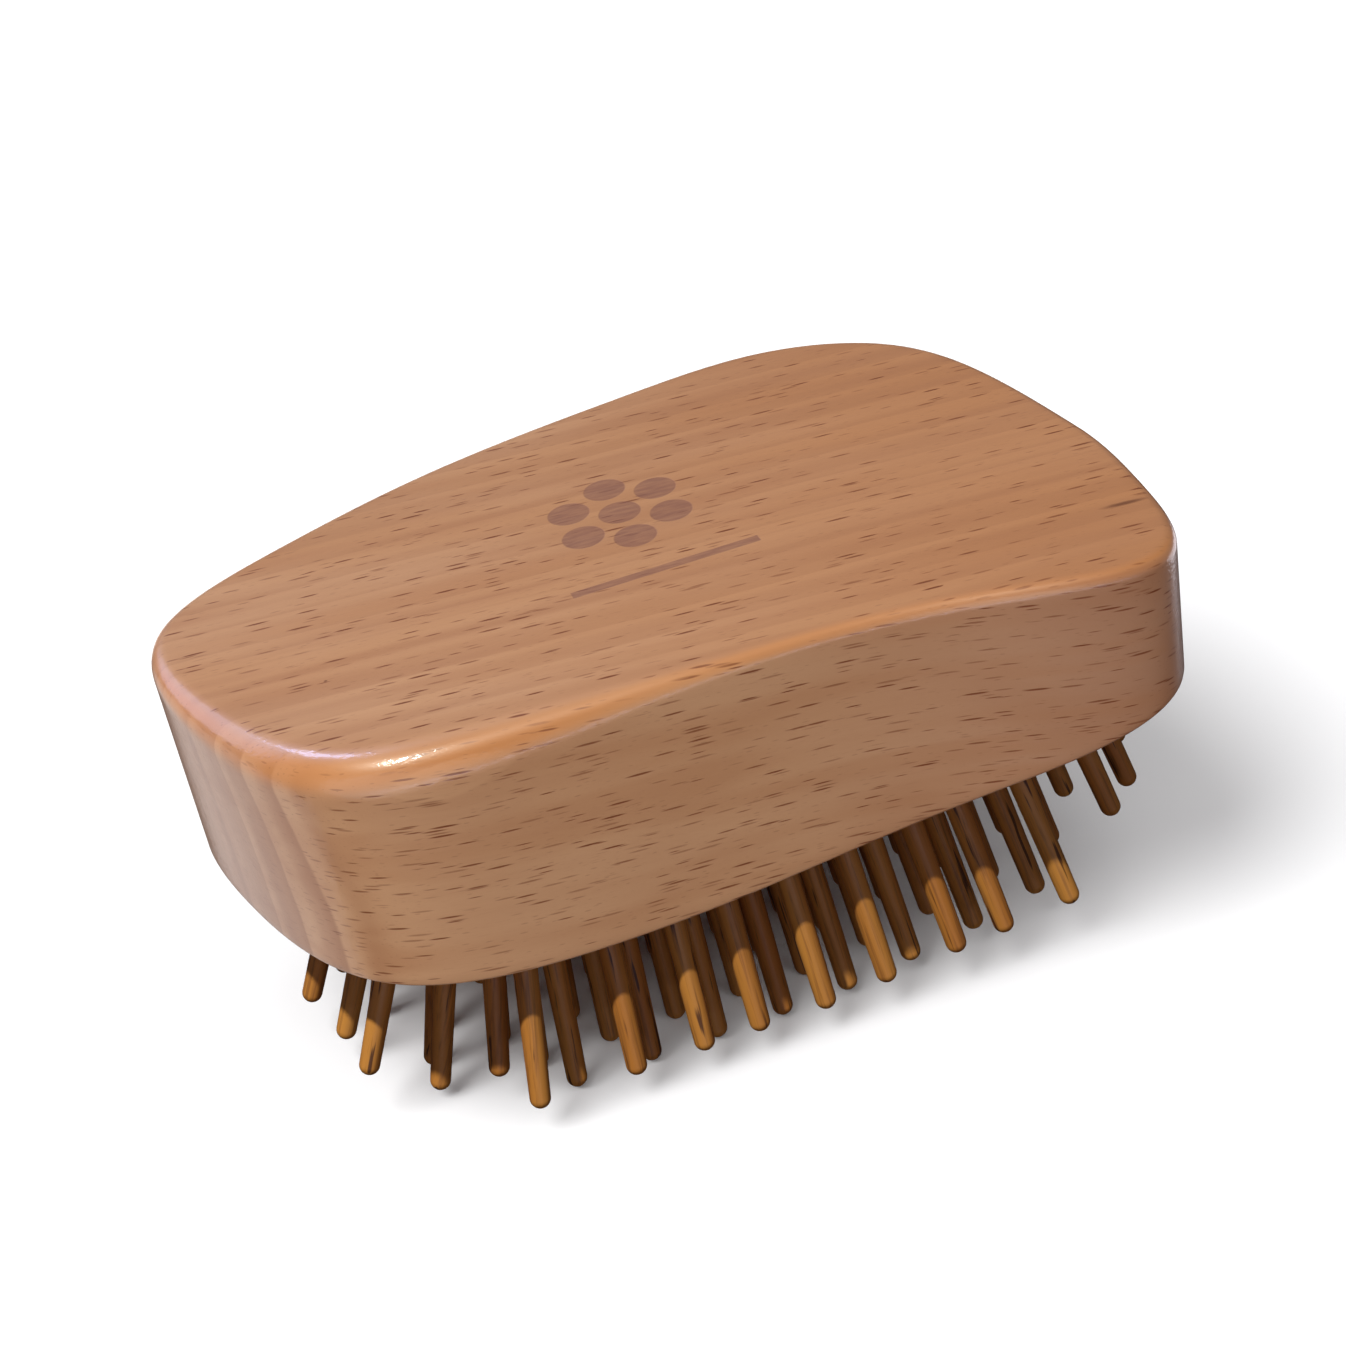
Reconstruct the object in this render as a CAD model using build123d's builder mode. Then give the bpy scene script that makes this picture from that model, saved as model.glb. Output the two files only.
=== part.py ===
from build123d import *
from math import radians, sqrt, tan
import os

# Palm brush: one solid beech block, held in the hand, with rows of wooden pins glued into drilled
# sockets in its curved underside.  Millimetres, +Z up.  Z = 0 is the level that the tips of the
# middle pins share, so the brush stands on them.  X runs along the block, nose at -X, wide end
# at +X.  The slightly hollow long side, where the fingers lie, faces -Y.

# ---- driving dimensions of the block
block_length = 110.0
block_width = 74.0
block_thickness = 31.0          # at the thickest place
thickest_x = -14.0
underside_radius = 170.0        # the underside is an arc along X
top_round = 2.6                 # round-over of the top edge
lower_edge_round = 0.5

# ---- driving dimensions of the pins
pin_diameter = 2.9
pin_tip_diameter = 2.45
longest_reach = 25.5            # free length of the middle pins
rim_shortening = 4.2            # the outermost pins are shorter by this much
nose_shortening = 6.3           # and by this much at the nose
rim_band = 7.0                  # over this distance from the rim row to the full length
socket_depth = 8.0
glue_gap = 0.05                 # socket radius over pin radius
stand_height = 24.0             # underside over the standing level at the thickest place

# ---- the grid of pins, staggered rows that run along X
row_pitch = 7.4
row_spacing = 5.2
first_row_y = -24.5
first_pin_x = -25.2
row_lean = 0.14                 # sideways shift of the grid per millimetre of Y
rim_inset = 5.4
nose_start_x = -27.0
nose_inset = 10.4               # the pins keep further in at the nose, where they fan out most
nose_inset_y = -14.1            # the line along which the nose inset has that value
nose_inset_growth = 0.10        # how much it grows per millimetre of Y beyond that line
corner_start_x = 36.0
corner_end_y = -17.0
corner_inset = 12.5             # and further in at the corner between the front and the wide end

# ---- how the pins fan out, in degrees per millimetre
fan_x = 0.28
fan_centre_x = -10.0
nose_fan_x = -22.0
nose_fan = 1.1                  # extra fan beyond nose_fan_x
most_nose_fan = 16.0            # and the most that it comes to, in degrees
fan_y = 0.40
fan_centre_y = 3.0

# The holes are drilled by hand.  These pins stand off the even grid, along X: row, pin and offset.
offsets_by_hand = {
    (0, 0): -0.3, (0, 1): 1.7, (0, 2): 1.9, (0, 3): 0.7, (0, 4): 0.7,
    (0, 5): 0.3, (0, 6): 0.9, (0, 7): -1.1, (0, 8): -1.1,
    (1, 0): 0.5, (1, 1): -0.9, (1, 9): 3.1,
    (2, 0): 1.2, (2, 1): -0.2, (2, 11): 2.5,
    (3, 0): 3.2, (3, 1): 1.0,
    (5, 1): -0.8,
}

single_rows = (0, 1, 2, 9, 10)  # rows whose pins are nodes of their own; other rows are one node

half_length = block_length / 2
half_width = block_width / 2
pin_radius = pin_diameter / 2
tip_radius = pin_tip_diameter / 2
arc_centre_z = stand_height + underside_radius

# Plan of the block as shares of its half length and half width, anticlockwise from the wide end.
plan_shares = [
    (0.992, -0.135), (0.943, 0.311), (0.809, 0.770), (0.564, 0.978), (0.209, 0.973),
    (-0.300, 0.838), (-0.682, 0.630), (-0.969, 0.338), (-0.951, -0.230), (-0.751, -0.716),
    (-0.382, -0.819), (0.073, -0.816), (0.527, -0.897), (0.918, -0.946), (0.992, -0.554),
]


def underside_z(x):
    """Height of the curved underside at x."""
    return arc_centre_z - sqrt(underside_radius ** 2 - (x - thickest_x) ** 2)


def pin_inset(x, y):
    """How near to the edge of the block a pin may stand at this place."""
    if x < nose_start_x:
        return nose_inset + nose_inset_growth * (y - nose_inset_y)
    if x > corner_start_x and y < corner_end_y:
        return corner_inset
    return rim_inset


def rim_rise(x, y, rim_distance):
    """How much higher than a middle pin a pin ends, by its distance from the edge of the block."""
    share = min(1.0, max(0.0, 1.0 - (rim_distance - pin_inset(x, y)) / rim_band))
    return (nose_shortening if x < nose_start_x else rim_shortening) * share ** 1.5


def pin_axis(x, y):
    """Direction of a pin, from its root to its tip."""
    nose_lean = min(most_nose_fan, nose_fan * max(0.0, nose_fan_x - x))
    lean_x = fan_x * (x - fan_centre_x) - nose_lean
    lean_y = fan_y * (y - fan_centre_y)
    return Vector(tan(radians(lean_x)), tan(radians(lean_y)), -1.0).normalized()


def pin_place_and_reach(x, y, rim_distance):
    """Plane at a pin's root with its normal along the pin, and the pin's free length."""
    root = Vector(x, y, underside_z(x))
    axis = pin_axis(x, y)
    rise = rim_rise(x, y, rim_distance)
    reach = min(longest_reach - rise, (root.Z - rise) / -axis.Z)
    return Plane(origin=root, z_dir=axis), reach


def make_pin(place, reach):
    """One turned pin: a straight shank in its socket, a slight taper and a round tip."""
    with BuildPart() as pin:
        with BuildSketch(Plane.XZ):
            with BuildLine():
                Polyline(
                    (0, reach),
                    (0, -socket_depth),
                    (pin_radius, -socket_depth),
                    (pin_radius, 0),
                    (tip_radius, reach - tip_radius),
                )
                RadiusArc((tip_radius, reach - tip_radius), (0, reach), -tip_radius)
            make_face()
        revolve(axis=Axis.Z)
    return pin.part.moved(place.location)


def make_socket(place):
    """The drilled hole that a pin is glued into, as a solid to take away from the block."""
    depth = socket_depth + 4 * glue_gap
    cylinder = Cylinder(
        pin_radius + glue_gap,
        depth + pin_diameter,
        align=(Align.CENTER, Align.CENTER, Align.MIN),
    )
    return cylinder.moved(Location((0, 0, -depth))).moved(place.location)


# ---- plan of the block
with BuildSketch() as plan:
    with BuildLine() as plan_line:
        Spline(*[(half_length * x, half_width * y) for x, y in plan_shares], periodic=True)
    make_face()
plan_face = plan.face()
plan_edge = plan_line.wire()

# ---- where the pins stand, row by row
pin_rows = []
row_y = first_row_y
while row_y < half_width:
    stagger = row_pitch / 2 if len(pin_rows) % 2 else 0.0
    row_x = first_pin_x + stagger + row_lean * (row_y - first_row_y)
    steps_left = int((row_x + half_length) / row_pitch)
    x = row_x - steps_left * row_pitch
    row_places = []
    while x < half_length:
        point = Vector(x, row_y, 0)
        distance = plan_edge.distance_to(Vertex(point))
        if plan_face.is_inside(point) and distance > pin_inset(x, row_y):
            row_places.append(x)
        x += row_pitch
    row = []
    for pin_number, grid_x in enumerate(row_places):
        pin_x = grid_x + offsets_by_hand.get((len(pin_rows), pin_number), 0.0)
        distance = plan_edge.distance_to(Vertex(Vector(pin_x, row_y, 0)))
        row.append(pin_place_and_reach(pin_x, row_y, distance))
    if row:
        pin_rows.append(row)
    row_y += row_spacing

# ---- block
sockets = [make_socket(place) for row in pin_rows for place, reach in row]
with BuildPart() as block:
    with BuildSketch(Plane.XY.offset(stand_height)):
        add(plan_face)
    extrude(amount=block_thickness)
    fillet(block.faces().sort_by(Axis.Z)[-1].edges(), radius=top_round)
    with Locations(Plane(origin=(thickest_x, 0, arc_centre_z), z_dir=(0, 1, 0))):
        Cylinder(underside_radius, 2 * block_width, mode=Mode.INTERSECT)
    fillet(block.faces().sort_by(Axis.Z)[0].edges(), radius=lower_edge_round)
    add(sockets, mode=Mode.SUBTRACT)
block.part.label = "block"

# ---- export
os.makedirs("parts", exist_ok=True)
export_step(block.part, "parts/block.step")
for row_number, row in enumerate(pin_rows):
    row_name = "pin_row_" + "abcdefghijklm"[row_number]
    pins = [make_pin(place, reach) for place, reach in row]
    if row_number in single_rows:
        for pin_number, pin in enumerate(pins, start=1):
            pin.label = f"{row_name}_{pin_number:02d}"
            export_step(pin, f"parts/{pin.label}.step")
    else:
        group = Compound(children=pins, label=row_name)
        export_step(group, f"parts/{row_name}.step")
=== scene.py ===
"""Looks of the palm brush: a varnished beech block and its turned pins, on a pale floor.

The scene is in metres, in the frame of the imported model.  The wood's own sizes, the block's mesh and the
materials are worked out in millimetres.
"""

import math

import bpy
import numpy as np
from mathutils import Matrix, Vector


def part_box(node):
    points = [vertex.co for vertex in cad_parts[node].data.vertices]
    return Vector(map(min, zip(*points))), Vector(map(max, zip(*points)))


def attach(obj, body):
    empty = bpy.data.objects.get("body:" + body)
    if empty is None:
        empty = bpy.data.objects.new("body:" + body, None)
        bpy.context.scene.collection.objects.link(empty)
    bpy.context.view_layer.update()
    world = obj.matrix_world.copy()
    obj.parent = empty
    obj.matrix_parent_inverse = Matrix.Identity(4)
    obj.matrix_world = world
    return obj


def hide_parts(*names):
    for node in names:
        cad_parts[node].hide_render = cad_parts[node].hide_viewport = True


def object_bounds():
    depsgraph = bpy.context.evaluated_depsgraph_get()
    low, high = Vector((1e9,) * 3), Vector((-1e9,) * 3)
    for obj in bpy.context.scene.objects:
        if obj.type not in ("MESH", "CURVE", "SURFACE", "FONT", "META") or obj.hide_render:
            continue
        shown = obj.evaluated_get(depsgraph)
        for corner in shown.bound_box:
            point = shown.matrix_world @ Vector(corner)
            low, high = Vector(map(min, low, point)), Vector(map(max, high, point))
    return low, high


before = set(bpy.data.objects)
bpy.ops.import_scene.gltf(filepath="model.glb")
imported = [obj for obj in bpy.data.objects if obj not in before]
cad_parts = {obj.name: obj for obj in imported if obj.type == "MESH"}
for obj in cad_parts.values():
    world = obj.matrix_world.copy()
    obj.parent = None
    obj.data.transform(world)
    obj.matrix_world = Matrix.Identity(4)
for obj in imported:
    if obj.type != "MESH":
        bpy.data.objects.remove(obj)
cad_low, cad_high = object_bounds()

MM = 0.001
top_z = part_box("block")[1].z / MM

# ---- the wood's own geometry, in millimetres and radians
grain_turn = (0.0, -0.070, 0.122)       # turns the grain direction onto X
pith = (0.0, 100.0, 25.0)               # the tree's centre line, in grain directions
ring_spacing = 4.6
ring_unevenness = 1.6                   # how far a ring strays, in rings

# ---- the block's rounded top edge, in millimetres: worn widest at the near corner of the nose
cad_top_round = 2.6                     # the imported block's own, even round-over
least_round = 1.5
added_round = 2.7
widest_round_at = math.radians(216)
round_spread = math.radians(38)
lower_edge_round = 0.5

# ---- the block's curved underside
underside_radius = 170.0
thickest_x = -14.0

# ---- how the pins fan out: slopes per millimetre from the middle of the fan, and more at the nose
fan = {"X": math.radians(0.28), "Y": math.radians(0.40)}
fan_centre = {"X": -10.0, "Y": 3.0}
nose_fan_x = -22.0
nose_fan = math.radians(1.1)
most_nose_fan = math.radians(16)

# ---- the burned mark on the top
mark_centre = (1.3, 6.6)
mark_dot_radius = 2.5
mark_dot_pitch = 6.2
mark_bar_centre = (2.2, -8.2)
mark_bar_half = (11.0, 0.55)
mark_edge = 0.12

# ---- the wood's own blemishes on the top: the centre and the half size along and across the grain
dark_streak = ((50.3, -24.4), (3.6, 0.55))
knot_dot = ((-37.5, -9.8), (0.3, 0.25))
blemish_depth = 2.0


def srgb(red, green, blue):
    """A colour given as it is seen, as the linear numbers that the nodes take."""
    linear = []
    for seen in (red / 255, green / 255, blue / 255):
        linear.append(seen / 12.92 if seen <= 0.04 else ((seen + 0.055) / 1.055) ** 2.4)
    return (*linear, 1.0)


class Graph:
    """One material's node tree, with short names for the nodes that are used most."""

    def __init__(self, name):
        self.material = bpy.data.materials.new(name)
        self.material.use_nodes = True
        self.tree = self.material.node_tree
        self.tree.nodes.clear()

    def node(self, kind, sockets=None, **settings):
        """A new node with these settings, and with these values or links on its inputs."""
        made = self.tree.nodes.new(kind)
        for name, value in settings.items():
            setattr(made, name, value)
        for name, value in (sockets or {}).items():
            self.put(made.inputs[name], value)
        return made

    def put(self, socket, value):
        """Link the socket to another, or give it a fixed value."""
        if isinstance(value, bpy.types.NodeSocket):
            self.tree.links.new(value, socket)
        else:
            socket.default_value = value

    def math(self, operation, first, second=0.0):
        return self.node("ShaderNodeMath", {0: first, 1: second}, operation=operation).outputs[0]

    def times(self, first, second):
        return self.math("MULTIPLY", first, second)

    def opposite(self, value):
        """1 where the value is 0, and 0 where it is 1."""
        return self.math("SUBTRACT", 1.0, value)

    def vector(self, operation, first, second=(0.0, 0.0, 0.0)):
        made = self.node("ShaderNodeVectorMath", {0: first, 1: second}, operation=operation)
        gives_a_number = operation in ("LENGTH", "DISTANCE", "DOT_PRODUCT")
        return made.outputs["Value" if gives_a_number else "Vector"]

    def axis(self, vector, name):
        """One of X, Y and Z of a vector."""
        return self.node("ShaderNodeSeparateXYZ", {0: vector}).outputs[name]

    def along_grain(self, vector):
        """A place or a direction, turned so that X runs along the grain."""
        return self.node("ShaderNodeMapping", {"Vector": vector, "Rotation": grain_turn}).outputs[0]

    def step(self, value, start, end, low=0.0, high=1.0):
        """value from start to end, eased, as low to high."""
        sockets = {"Value": value, "From Min": start, "From Max": end, "To Min": low, "To Max": high}
        return self.node("ShaderNodeMapRange", sockets, interpolation_type="SMOOTHSTEP").outputs[0]

    def mix(self, share, first, second):
        """The first colour, or that share of the second over it."""
        made = self.node("ShaderNodeMix", data_type="RGBA")
        self.put(made.inputs["Factor"], share)
        colours = [socket for socket in made.inputs if socket.type == "RGBA"]
        self.put(colours[0], first)
        self.put(colours[1], second)
        return [socket for socket in made.outputs if socket.type == "RGBA"][0]

    def noise(self, vector, stretch, detail=3.0, roughness=0.5):
        """Smooth noise, about 0 to 1, whose features are as long as stretch says, in millimetres."""
        scaled = self.vector("MULTIPLY", vector, tuple(1.0 / s for s in stretch))
        sockets = {"Vector": scaled, "Scale": 1.0, "Detail": detail, "Roughness": roughness}
        return self.node("ShaderNodeTexNoise", sockets).outputs["Fac"]

    def flecks(self, vector, size, radius, share):
        """Lens-shaped spots in that share of the cells of that size, no two alike in length and depth.

        A cell's own colour follows from where its point lies, so white noise makes a fair draw of it.
        """
        scaled = self.vector("MULTIPLY", vector, tuple(1.0 / s for s in size))
        cells = self.node("ShaderNodeTexVoronoi", {"Vector": scaled, "Scale": 1.0, "Randomness": 1.0})
        draw = self.node("ShaderNodeTexWhiteNoise", {"Vector": cells.outputs["Color"]}, noise_dimensions="3D")
        draws = self.node("ShaderNodeSeparateColor", {0: draw.outputs["Color"]})
        presence, largeness, strength = draws.outputs
        own_radius = self.times(self.step(largeness, 0.0, 1.0, 0.55, 1.0), radius)
        spot = self.step(cells.outputs["Distance"], own_radius, self.times(own_radius, 0.45))
        spot = self.times(spot, self.step(strength, 0.0, 1.0, 0.45, 1.0))
        return self.times(spot, self.step(presence, 1.0 - share, 1.02 - share))

    def bump(self, height, strength, depth):
        """The normal of a surface whose relief is that deep, in millimetres."""
        sockets = {"Height": height, "Strength": strength, "Distance": depth * MM}
        return self.node("ShaderNodeBump", sockets).outputs[0]

    def finish(self, shader):
        """The finished material, with that shader on its surface."""
        output = self.node("ShaderNodeOutputMaterial")
        self.tree.links.new(shader.outputs[0], output.inputs["Surface"])
        return self.material


def closed_spline(points, count):
    """Evenly spaced points on a smooth closed curve through these points of a plan, doubles left out."""
    closest = 0.05
    points = points[np.linalg.norm(points - np.roll(points, 1, axis=0), axis=1) > closest]
    following = np.roll(points, -1, axis=0)
    chords = np.linalg.norm(following - points, axis=1)
    before = np.roll(chords, 1)
    total = len(points)
    system = np.zeros((total, total))
    steps = (following - points) / chords[:, None]
    wanted = 3 * (chords[:, None] * np.roll(steps, 1, axis=0) + before[:, None] * steps)
    for i in range(total):
        system[i, i - 1] = chords[i]
        system[i, i] = 2 * (before[i] + chords[i])
        system[i, (i + 1) % total] = before[i]
    slopes = np.linalg.solve(system, wanted)
    starts = np.concatenate([[0.0], np.cumsum(chords)])
    places = np.linspace(0, starts[-1], count, endpoint=False)
    span = np.searchsorted(starts, places, side="right") - 1
    u = ((places - starts[span]) / chords[span])[:, None]
    height = chords[span][:, None]
    return (
        (2 * u ** 3 - 3 * u ** 2 + 1) * points[span]
        + (u ** 3 - 2 * u ** 2 + u) * height * slopes[span]
        + (3 * u ** 2 - 2 * u ** 3) * following[span]
        + (u ** 3 - u ** 2) * height * np.roll(slopes, -1, axis=0)[span]
    )


def underside_z(x, lowest):
    """Height of the curved underside at x, in millimetres."""
    return lowest + underside_radius - np.sqrt(underside_radius ** 2 - (x - thickest_x) ** 2)


def make_block(material):
    """The block with its hand-worn top edge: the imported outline, and a round-over that changes along it."""
    columns = 480
    flat_margin = 0.25
    level_error = 0.01
    low, high = (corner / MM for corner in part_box("block"))

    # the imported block's plan, from its points where the wall meets the round-over
    packed = np.array([v.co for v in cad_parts["block"].data.vertices]) / MM
    wall = packed[np.abs(packed[:, 2] - (high.z - cad_top_round)) < level_error][:, :2]
    wall = wall[np.argsort(np.arctan2(wall[:, 1], wall[:, 0]))]
    outline = closed_spline(wall, columns)
    along = np.roll(outline, -1, axis=0) - np.roll(outline, 1, axis=0)
    inward = np.column_stack([-along[:, 1], along[:, 0]]) / np.linalg.norm(along, axis=1)[:, None]
    angle = np.arctan2(outline[:, 1], outline[:, 0])
    from_corner = (angle - widest_round_at + math.pi) % (2 * math.pi) - math.pi
    top_round = least_round + added_round * np.exp(-(from_corner / round_spread) ** 2)

    rings = []

    def ring(inset, z, share=1.0):
        """One more ring of points, inside the outline by that inset, then shrunk to that share."""
        plan = (outline + inward * np.reshape(inset, (-1, 1))) * share
        level = z(plan[:, 0]) if callable(z) else z
        rings.append(np.column_stack([plan, np.broadcast_to(level, columns)]))

    # the flat top from its middle outwards, the round-over, and the wall
    for share in (0.02, 0.25, 0.5, 0.75, 0.93, 0.985):
        ring(top_round + flat_margin, high.z, share)
    round_steps = 10
    for step in range(round_steps + 1):
        turn = math.pi / 2 * step / round_steps
        ring(top_round * (1 - math.sin(turn)), high.z - top_round * (1 - math.cos(turn)))
    wall_foot = underside_z(outline[:, 0], low.z) + lower_edge_round
    wall_head = high.z - top_round
    for share in (0.04, 0.3, 0.65, 0.96):
        ring(0.0, wall_head + (wall_foot - wall_head) * share)

    # the small lower edge, and the underside back to its middle
    edge_steps = 4
    for step in range(edge_steps + 1):
        turn = math.pi / 2 * step / edge_steps
        inset = lower_edge_round * (1 - math.cos(turn))
        ring(inset, wall_foot - lower_edge_round * math.sin(turn))
    for share in (0.985, 0.93, 0.8, 0.65, 0.5, 0.35, 0.2, 0.1, 0.02):
        ring(lower_edge_round, lambda x: underside_z(x, low.z), share)

    vertices = np.concatenate(rings) * MM
    faces = [tuple(range(columns))]
    for row in range(len(rings) - 1):
        for column in range(columns):
            beside = (column + 1) % columns
            upper, lower = row * columns, (row + 1) * columns
            faces.append((upper + column, lower + column, lower + beside, upper + beside))
    last = (len(rings) - 1) * columns
    faces.append(tuple(reversed(range(last, last + columns))))
    mesh = bpy.data.meshes.new("wooden_block")
    mesh.from_pydata(vertices.tolist(), [], faces)
    mesh.polygons.foreach_set("use_smooth", [True] * len(faces))
    mesh.materials.append(material)
    made = bpy.data.objects.new("wooden_block", mesh)
    bpy.context.scene.collection.objects.link(made)
    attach(made, "root")
    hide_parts("block")
    return made


def place_in_mm(graph):
    """Where the surface is, in millimetres."""
    place = graph.node("ShaderNodeTexCoord").outputs["Object"]
    return graph.vector("MULTIPLY", place, (1 / MM, 1 / MM, 1 / MM))


def burned_mark(graph, place):
    """A plain mark: seven dots in a honeycomb over a short bar.  1 inside, 0 outside."""
    flat = graph.vector("MULTIPLY", place, (1.0, 1.0, 0.0))
    nearest = graph.vector("DISTANCE", flat, (*mark_centre, 0.0))
    for turn in range(6):
        angle = math.radians(60 * turn + 30)
        x = mark_centre[0] + mark_dot_pitch * math.cos(angle)
        y = mark_centre[1] + mark_dot_pitch * math.sin(angle)
        to_dot = graph.vector("DISTANCE", flat, (x, y, 0.0))
        nearest = graph.math("MINIMUM", nearest, to_dot)
    dots = graph.step(nearest, mark_dot_radius + mark_edge, mark_dot_radius - mark_edge)
    beside = graph.vector("SUBTRACT", flat, (*mark_bar_centre, 0.0))
    beyond = graph.vector("SUBTRACT", graph.vector("ABSOLUTE", beside), (*mark_bar_half, 0.0))
    outside = graph.vector("LENGTH", graph.vector("MAXIMUM", beyond, (0.0, 0.0, 0.0)))
    bar = graph.step(outside, 0.2, 0.0)
    near_top = graph.step(graph.axis(place, "Z"), top_z - 0.5, top_z - 0.2)
    return graph.times(graph.math("MAXIMUM", dots, bar), near_top)


def blemishes(graph, place):
    """The wood's own marks on the top: a short dark streak near the wide end and a pin-prick of a knot."""
    found = 0.0
    for centre, size in (dark_streak, knot_dot):
        away = graph.along_grain(graph.vector("SUBTRACT", place, (*centre, top_z)))
        away = graph.vector("MULTIPLY", away, (1 / size[0], 1 / size[1], 1 / blemish_depth))
        away = graph.vector("LENGTH", away)
        found = graph.math("MAXIMUM", graph.step(away, 1.0, 0.2, 0.0, 0.8), found)
    return found


beech_tones = {
    "pale": srgb(206, 154, 112),
    "honey": srgb(197, 141, 96),
    "wide_end_top": srgb(190, 124, 72),
    "wall": srgb(207, 163, 130),
    # painted shade: the walls darker towards the wide end, which the light reaches less
    "wide_end_wall_shade": srgb(150, 103, 88),
    "band": srgb(176, 118, 78),
    "late_wood": srgb(158, 102, 66),
    "streak": srgb(168, 110, 76),
    "fibre": srgb(150, 96, 64),
    # painted glow: the orange that the light throws along the rounded edge
    "painted_edge_glow": srgb(204, 128, 60),
    "large_fleck": srgb(116, 54, 20),
    "small_fleck": srgb(128, 76, 48),
    "blemish": srgb(104, 58, 34),
    "burned_mark": srgb(118, 70, 56),
}


def growth_rings(graph, from_pith):
    """The tree's rings: 0 in each ring's early wood, rising to 1 in its late wood, which ends sharply."""
    depth = graph.vector("LENGTH", from_pith)
    sockets = {"W": depth, "Scale": 0.25, "Detail": 1.0}
    uneven = graph.node("ShaderNodeTexNoise", sockets, noise_dimensions="1D").outputs["Fac"]
    rings = graph.math("ADD", graph.math("DIVIDE", depth, ring_spacing), graph.times(uneven, ring_unevenness))
    through_ring = graph.math("FRACT", rings)
    return graph.times(graph.step(through_ring, 0.2, 0.9), graph.step(through_ring, 1.0, 0.92))


def beech():
    """Varnished beech: growth rings, ray flecks and fine pores, with a painted glow on the rounded edges and
    painted shade on the walls towards the wide end.
    """
    graph = Graph("varnished_beech")
    place = place_in_mm(graph)
    length = graph.axis(place, "X")

    # the grain's own directions, gently bent so that no ring or streak runs quite straight
    grain = graph.along_grain(place)
    sockets = {"Vector": graph.vector("MULTIPLY", grain, (0.02, 0.05, 0.05)), "Scale": 1.0, "Detail": 2.0}
    drift = graph.node("ShaderNodeTexNoise", sockets).outputs["Color"]
    drift = graph.vector("MULTIPLY", graph.vector("SUBTRACT", drift, (0.5, 0.5, 0.5)), (0.0, 1.6, 1.6))
    grain = graph.vector("ADD", grain, drift)
    from_pith = graph.vector("MULTIPLY", graph.vector("SUBTRACT", grain, pith), (0.0, 1.0, 1.0))

    # how the surface lies: flat, rounded or upright, and along or across the grain and the rings
    surface = graph.node("ShaderNodeNewGeometry").outputs["Normal"]
    upward = graph.axis(surface, "Z")
    on_wall = graph.step(upward, 0.85, 0.5)
    on_top = graph.opposite(on_wall)
    grain_normal = graph.along_grain(surface)
    end_grain = graph.math("ABSOLUTE", graph.axis(grain_normal, "X"))
    outward = graph.vector("NORMALIZE", from_pith)
    along_rings = graph.math("ABSOLUTE", graph.vector("DOT_PRODUCT", grain_normal, outward))

    # rings, which show least where the surface lies along them, on end grain and on the top
    late_wood = growth_rings(graph, from_pith)
    late_wood = graph.times(late_wood, graph.step(along_rings, 0.995, 0.90, 0.25, 1.0))
    late_wood = graph.times(late_wood, graph.step(end_grain, 0.75, 0.98, 1.0, 0.35))
    late_wood = graph.times(late_wood, graph.step(on_wall, 0.0, 1.0, 0.22, 0.62))

    # long soft changes of tone, fine streaks and fibres
    broad = graph.noise(grain, (60.0, 14.0, 14.0), detail=2.0)
    bands = graph.noise(graph.vector("ADD", grain, (0.0, 23.0, 11.0)), (90.0, 3.4, 3.4), detail=1.0)
    streaks = graph.noise(grain, (40.0, 1.5, 1.5), detail=4.0, roughness=0.6)
    fibres = graph.noise(grain, (2.5, 0.12, 0.12), detail=2.0)

    # ray flecks: dashes on the wall and the top, which fade on end grain, and small specks everywhere
    small_flecks = graph.vector("ADD", grain, (7.3, 1.9, 4.1))
    small_flecks = graph.flecks(small_flecks, size=(1.9, 0.34, 0.34), radius=0.34, share=0.5)
    wall_flecks = graph.flecks(grain, size=(4.8, 1.6, 0.40), radius=0.43, share=0.75)
    wall_flecks = graph.times(wall_flecks, on_wall)
    top_flecks = graph.flecks(grain, size=(5.4, 0.58, 0.58), radius=0.40, share=0.62)
    top_flecks = graph.times(top_flecks, on_top)
    top_flecks = graph.times(top_flecks, graph.step(end_grain, 0.16, 0.45, 1.0, 0.0))
    large_flecks = graph.math("MAXIMUM", wall_flecks, top_flecks)
    large_flecks = graph.times(large_flecks, graph.step(end_grain, 0.45, 0.85, 1.0, 0.2))

    # painted glow on the rounded edge: the warm orange of the light grazing it, uneven along it and weaker
    # towards the wide end
    rounded = graph.times(graph.step(upward, 0.10, 0.5), graph.step(upward, 0.99, 0.8))
    rounded = graph.times(rounded, graph.step(broad, 0.3, 0.7, 0.5, 1.0))
    rounded = graph.times(rounded, graph.step(length, 5.0, 45.0, 1.0, 0.35))

    # the burned mark, darker along some fibres
    mark = burned_mark(graph, place)
    scorch = graph.step(graph.noise(grain, (3.0, 0.5, 0.5)), 0.2, 0.8, 0.42, 0.72)

    colour = graph.mix(graph.step(broad, 0.3, 0.7), beech_tones["pale"], beech_tones["honey"])
    for tone, share in (
        ("wide_end_top", graph.times(graph.step(length, -25.0, 45.0, 0.0, 0.55), on_top)),
        ("wall", graph.times(on_wall, 0.4)),
        # painted shade on the walls towards the wide end
        ("wide_end_wall_shade", graph.times(graph.step(length, -5.0, 50.0, 0.0, 0.5), on_wall)),
        ("band", graph.step(bands, 0.38, 0.66, 0.0, 0.30)),
        ("late_wood", late_wood),
        ("streak", graph.step(streaks, 0.35, 0.75, 0.0, 0.10)),
        ("fibre", graph.step(fibres, 0.55, 0.8, 0.0, 0.14)),
        # painted glow along the rounded edge, where the light grazes it
        ("painted_edge_glow", graph.times(rounded, 0.62)),
        ("large_fleck", graph.times(large_flecks, 0.90)),
        ("small_fleck", graph.times(small_flecks, 0.30)),
        ("blemish", blemishes(graph, place)),
        ("burned_mark", graph.times(mark, scorch)),
    ):
        colour = graph.mix(share, colour, beech_tones[tone])

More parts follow.
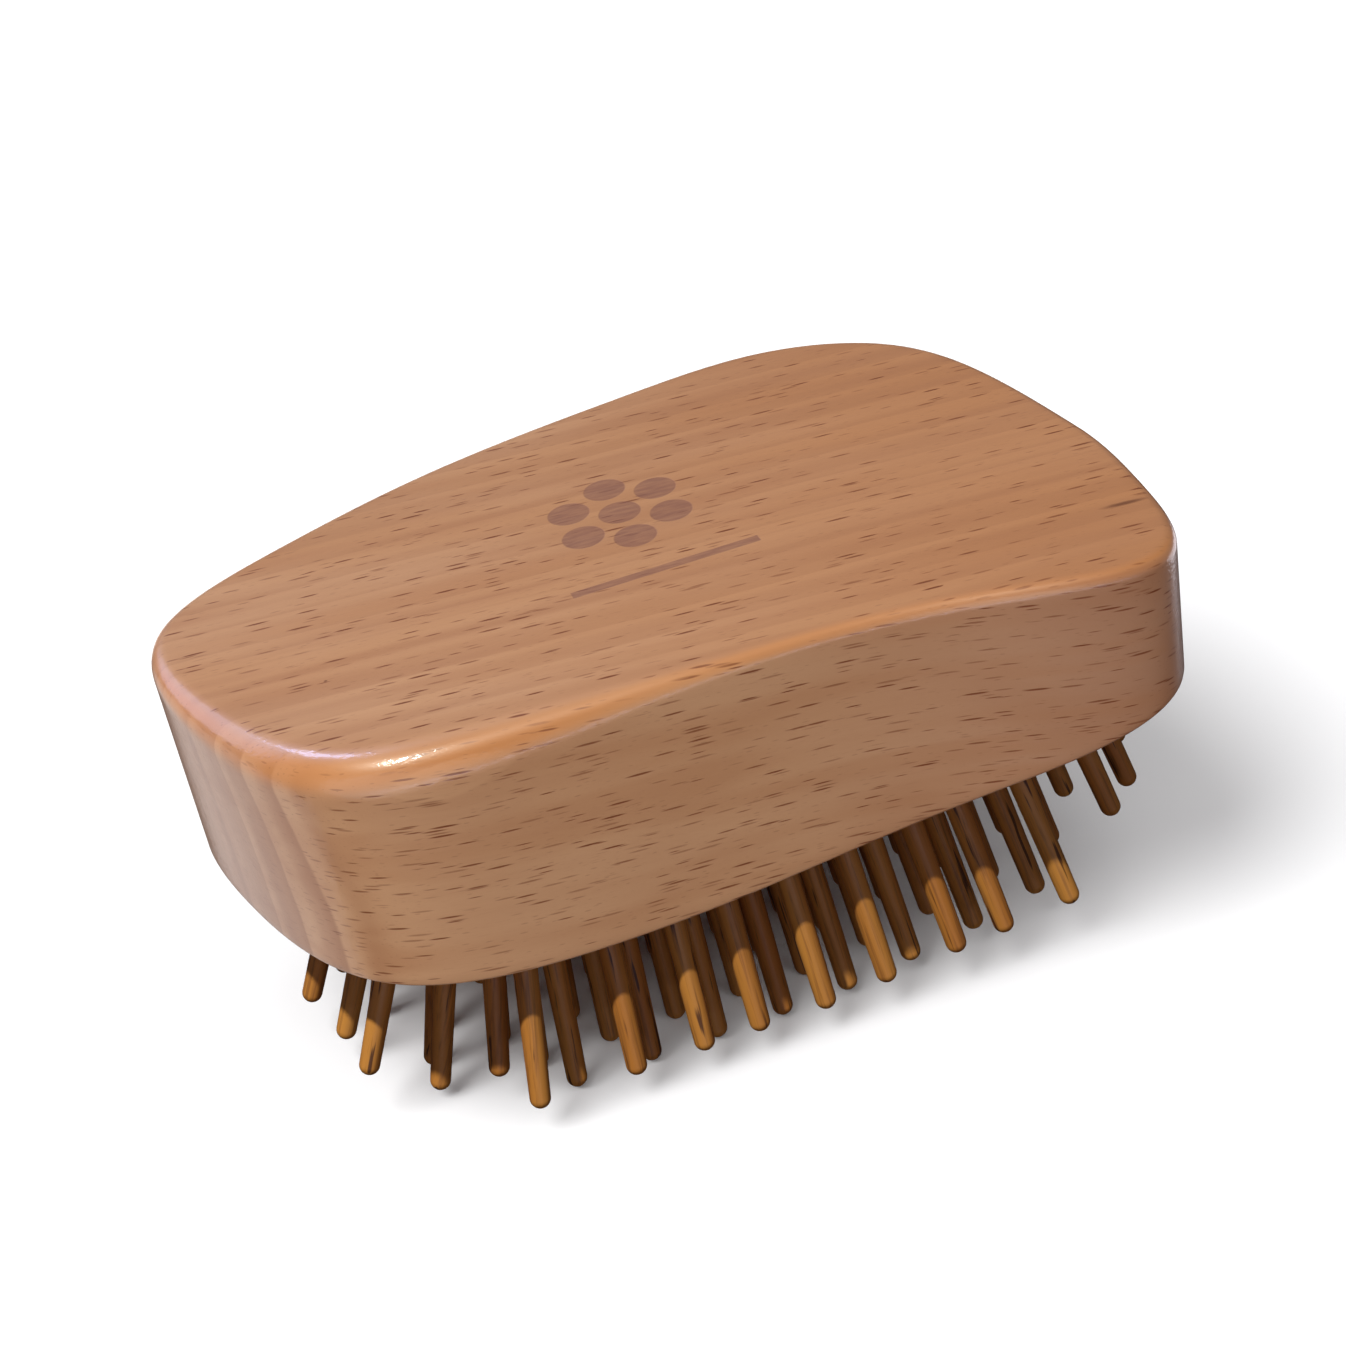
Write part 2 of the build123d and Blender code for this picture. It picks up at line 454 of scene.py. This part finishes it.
    # fibres and streaks stand proud, flecks and the mark lie deeper
    height = graph.times(fibres, 0.25)
    height = graph.math("SUBTRACT", height, graph.times(large_flecks, 0.35))
    height = graph.math("SUBTRACT", height, graph.times(mark, 0.8))
    height = graph.math("ADD", height, graph.times(streaks, 0.2))
    roughness = graph.math("ADD", 0.34, graph.times(streaks, 0.06))
    roughness = graph.math("ADD", roughness, graph.times(mark, 0.25))
    ripple = graph.noise(grain, (0.9, 0.45, 0.45), detail=2.0)
    shader = graph.node("ShaderNodeBsdfPrincipled", {
        "Base Color": colour,
        "Roughness": roughness,
        "Normal": graph.bump(height, strength=0.5, depth=0.05),
        "Coat Weight": 0.6,
        "Coat Roughness": 0.12,
        "Coat IOR": 1.5,
        "Coat Normal": graph.bump(ripple, strength=0.6, depth=0.08),
    })
    return graph.finish(shader)


def along_pins(graph, place):
    """The place with each pin's own slant taken out, so that Z runs along the pin."""
    z = graph.axis(place, "Z")
    below = graph.math("SUBTRACT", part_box("block")[0].z / MM, z)
    straight = {}
    for name in "XY":
        from_centre = graph.math("SUBTRACT", graph.axis(place, name), fan_centre[name])
        spread = graph.math("ADD", 1.0, graph.times(below, fan[name]))
        straight[name] = graph.math("ADD", graph.math("DIVIDE", from_centre, spread), fan_centre[name])
    nose_lean = graph.times(graph.math("SUBTRACT", nose_fan_x, straight["X"]), nose_fan)
    nose_lean = graph.math("MINIMUM", graph.math("MAXIMUM", nose_lean, 0.0), most_nose_fan)
    x = graph.math("ADD", straight["X"], graph.times(nose_lean, below))
    return graph.node("ShaderNodeCombineXYZ", {"X": x, "Y": straight["Y"], "Z": z}).outputs[0]


def pin_wood():
    """Darker turned hardwood with streaks along each pin, oiled."""
    graph = Graph("turned_hardwood")
    place = along_pins(graph, place_in_mm(graph))
    each_pin = graph.noise(place, (5.0, 5.0, 400.0), detail=0.0)
    streaks = graph.noise(place, (0.45, 0.45, 14.0), detail=3.0, roughness=0.6)
    veins = graph.noise(graph.vector("ADD", place, (31.0, 17.0, 5.0)), (0.7, 0.7, 12.0), detail=2.0)
    colour = graph.mix(graph.step(each_pin, 0.3, 0.7), srgb(224, 150, 66), srgb(202, 126, 52))
    colour = graph.mix(graph.step(streaks, 0.45, 0.7, 0.0, 0.55), colour, srgb(132, 76, 36))
    colour = graph.mix(graph.step(veins, 0.62, 0.70, 0.0, 0.85), colour, srgb(70, 34, 18))
    shader = graph.node("ShaderNodeBsdfPrincipled", {
        "Base Color": colour,
        "Roughness": graph.step(streaks, 0.2, 0.8, 0.36, 0.5),
        "Normal": graph.bump(graph.times(streaks, -1.0), strength=0.4, depth=0.05),
        "Coat Weight": 0.4,
        "Coat Roughness": 0.2,
        "Coat IOR": 1.5,
    })
    return graph.finish(shader)


def floor_paint():
    """Matt white board with a very faint mottle."""
    graph = Graph("white_board")
    mottle = graph.noise(place_in_mm(graph), (40.0, 40.0, 40.0))
    colour = graph.mix(mottle, srgb(246, 246, 247), srgb(250, 250, 250))
    shader = graph.node("ShaderNodeBsdfPrincipled", {"Base Color": colour, "Roughness": 0.9})
    return graph.finish(shader)


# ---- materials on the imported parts
beech_material = beech()
pin_material = pin_wood()
block = make_block(beech_material)
for name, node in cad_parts.items():
    material = beech_material if name == "block" else pin_material
    for material_slot in node.material_slots:
        material_slot.material = material

# ---- floor: wide enough to reach the horizon; it throws no light on the brush and stops no lamp
floor_size = 80.0
bpy.ops.mesh.primitive_plane_add(size=floor_size)
floor = bpy.context.object
floor.name = "floor"
floor.data.materials.append(floor_paint())
floor.visible_diffuse = False
floor.visible_glossy = False
floor.visible_shadow = False

# ---- lights
object_centre = (cad_low + cad_high) / 2
lamp_distance = 1.0


def place_lamp(light, direction, receivers):
    """Put a light in the scene, looking at the brush from that direction, and lighting only the receivers."""
    made = bpy.data.objects.new(light.name, light)
    bpy.context.scene.collection.objects.link(made)
    toward = Vector(direction).normalized()
    made.location = object_centre + toward * lamp_distance
    made.rotation_euler = toward.to_track_quat("Z", "Y").to_euler()
    made.light_linking.receiver_collection = receivers


def lamp(name, direction, size, power, colour, receivers):
    """A soft lamp of that width and height, in metres, and that power, in watts."""
    light = bpy.data.lights.new(name, "AREA")
    light.shape = "ELLIPSE"
    light.size, light.size_y = size
    light.energy = power
    light.color = colour
    place_lamp(light, direction, receivers)


def sun(name, direction, strength, angle, receivers):
    """Daylight as wide as that angle, in degrees."""
    light = bpy.data.lights.new(name, "SUN")
    light.energy = strength
    light.angle = math.radians(angle)
    place_lamp(light, direction, receivers)


def lit_group(name, members):
    """The objects that a lamp lights."""
    group = bpy.data.collections.new(name)
    for member in members:
        group.objects.link(member)
    return group


pins = [node for name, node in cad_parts.items() if name != "block"]
brush_only = lit_group("lit_as_brush", [*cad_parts.values(), block])
block_only = lit_group("lit_as_block", [block])
pins_only = lit_group("lit_as_pins", pins)
floor_only = lit_group("lit_as_floor", [floor])

# the hard light from above, which leaves the pins in the block's shadow down to their tips
hard_light_size = (0.03, 0.03)
lamp("key", (-0.21, -0.30, 0.93), hard_light_size, 6.3, (0.97, 0.97, 0.85), block_only)
lamp("pin_key", (-0.28, -0.29, 0.91), hard_light_size, 10.0, (0.95, 1.0, 1.0), pins_only)

# bluish windows that gleam on the rounded edge
lamp("high_window", (-0.27, 0.44, 0.85), (0.20, 0.36), 3.4, (0.50, 0.60, 1.0), block_only)
lamp("far_window", (-0.60, 0.62, 0.50), (0.7, 0.7), 2.9, (0.50, 0.60, 1.0), block_only)

# the room's soft light on the near wall, and the light that the table throws back up all round
lamp("front", (-0.50, -0.80, 0.20), (1.2, 1.2), 4.9, (1.0, 0.98, 0.92), block_only)
lamp("front_strip", (-0.05, -0.98, -0.15), (1.3, 0.10), 1.1, (0.74, 0.76, 1.0), brush_only)
lamp("back_fill", (0.10, 0.96, -0.26), (0.9, 0.5), 1.6, (1.0, 0.96, 0.90), block_only)
lamp("left_bounce", (-0.80, 0.42, -0.44), (1.3, 1.3), 3.4, (0.88, 0.88, 0.92), block_only)
lamp("end_fill", (0.94, 0.22, -0.26), (1.0, 0.5), 3.0, (0.96, 0.93, 1.0), block_only)

# the floor's own light, which casts the brush's soft shadow
sun("daylight", (-0.52, -0.16, 0.84), 2.9, 40, floor_only)
sun("skylight", (0.30, -0.60, 0.74), 2.1, 110, floor_only)

# ---- world: a dim sky, cooler at the horizon and dark below it, that the camera sees as plain white
sky_strength = 0.20
sky_stops = [
    (0.30, (0.03, 0.025, 0.03, 1.0)),
    (0.47, (0.34, 0.30, 0.42, 1.0)),
    (0.56, (0.55, 0.52, 0.60, 1.0)),
    (1.0, (0.50, 0.50, 0.52, 1.0)),
]
world = bpy.data.worlds.new("soft_sky")
bpy.context.scene.world = world
world.use_nodes = True
sky = world.node_tree
direction = sky.nodes.new("ShaderNodeTexCoord")
split = sky.nodes.new("ShaderNodeSeparateXYZ")
height = sky.nodes.new("ShaderNodeMath")     # from 0 straight down to 1 straight up
height.operation = "MULTIPLY_ADD"
height.inputs[1].default_value = 0.5
height.inputs[2].default_value = 0.5
ramp = sky.nodes.new("ShaderNodeValToRGB")
for index, (where, colour) in enumerate(sky_stops):
    element = ramp.color_ramp.elements[index] if index < 2 else ramp.color_ramp.elements.new(where)
    element.position = where
    element.color = colour
background = sky.nodes["Background"]
background.inputs["Strength"].default_value = sky_strength
backdrop = sky.nodes.new("ShaderNodeBackground")
backdrop.inputs["Color"].default_value = (1.0, 1.0, 1.0, 1.0)
ray = sky.nodes.new("ShaderNodeLightPath")
either = sky.nodes.new("ShaderNodeMixShader")
sky.links.new(direction.outputs["Generated"], split.inputs[0])
sky.links.new(split.outputs["Z"], height.inputs[0])
sky.links.new(height.outputs[0], ramp.inputs[0])
sky.links.new(ramp.outputs[0], background.inputs["Color"])
sky.links.new(ray.outputs["Is Camera Ray"], either.inputs[0])
sky.links.new(background.outputs[0], either.inputs[1])
sky.links.new(backdrop.outputs[0], either.inputs[2])
sky.links.new(either.outputs[0], sky.nodes["World Output"].inputs["Surface"])

# ---- camera, at the photograph's viewing angle
camera_aim = Vector((3.9, 6.7, 31.4)) * MM
camera_distance = 0.30
camera_azimuth = math.radians(12.36)     # from +Y towards +X
camera_elevation = math.radians(32.78)
camera_roll = math.radians(-11.03)
camera_lens = 66.09                      # millimetres
camera_sensor = 36.0

forward = Vector((
    math.sin(camera_azimuth) * math.cos(camera_elevation),
    math.cos(camera_azimuth) * math.cos(camera_elevation),
    -math.sin(camera_elevation),
))
level_right = forward.cross(Vector((0, 0, 1))).normalized()
level_up = level_right.cross(forward)
right = level_right * math.cos(camera_roll) + level_up * math.sin(camera_roll)
up = right.cross(forward)
camera_data = bpy.data.cameras.new("camera")
camera_data.lens = camera_lens
camera_data.sensor_width = camera_sensor
camera_data.clip_start = 0.01
camera = bpy.data.objects.new("camera", camera_data)
bpy.context.scene.collection.objects.link(camera)
turned = Matrix((right, up, -forward)).transposed().to_4x4()
camera.matrix_world = Matrix.Translation(camera_aim - forward * camera_distance) @ turned
bpy.context.scene.camera = camera
bpy.context.scene.view_settings.view_transform = "Standard"
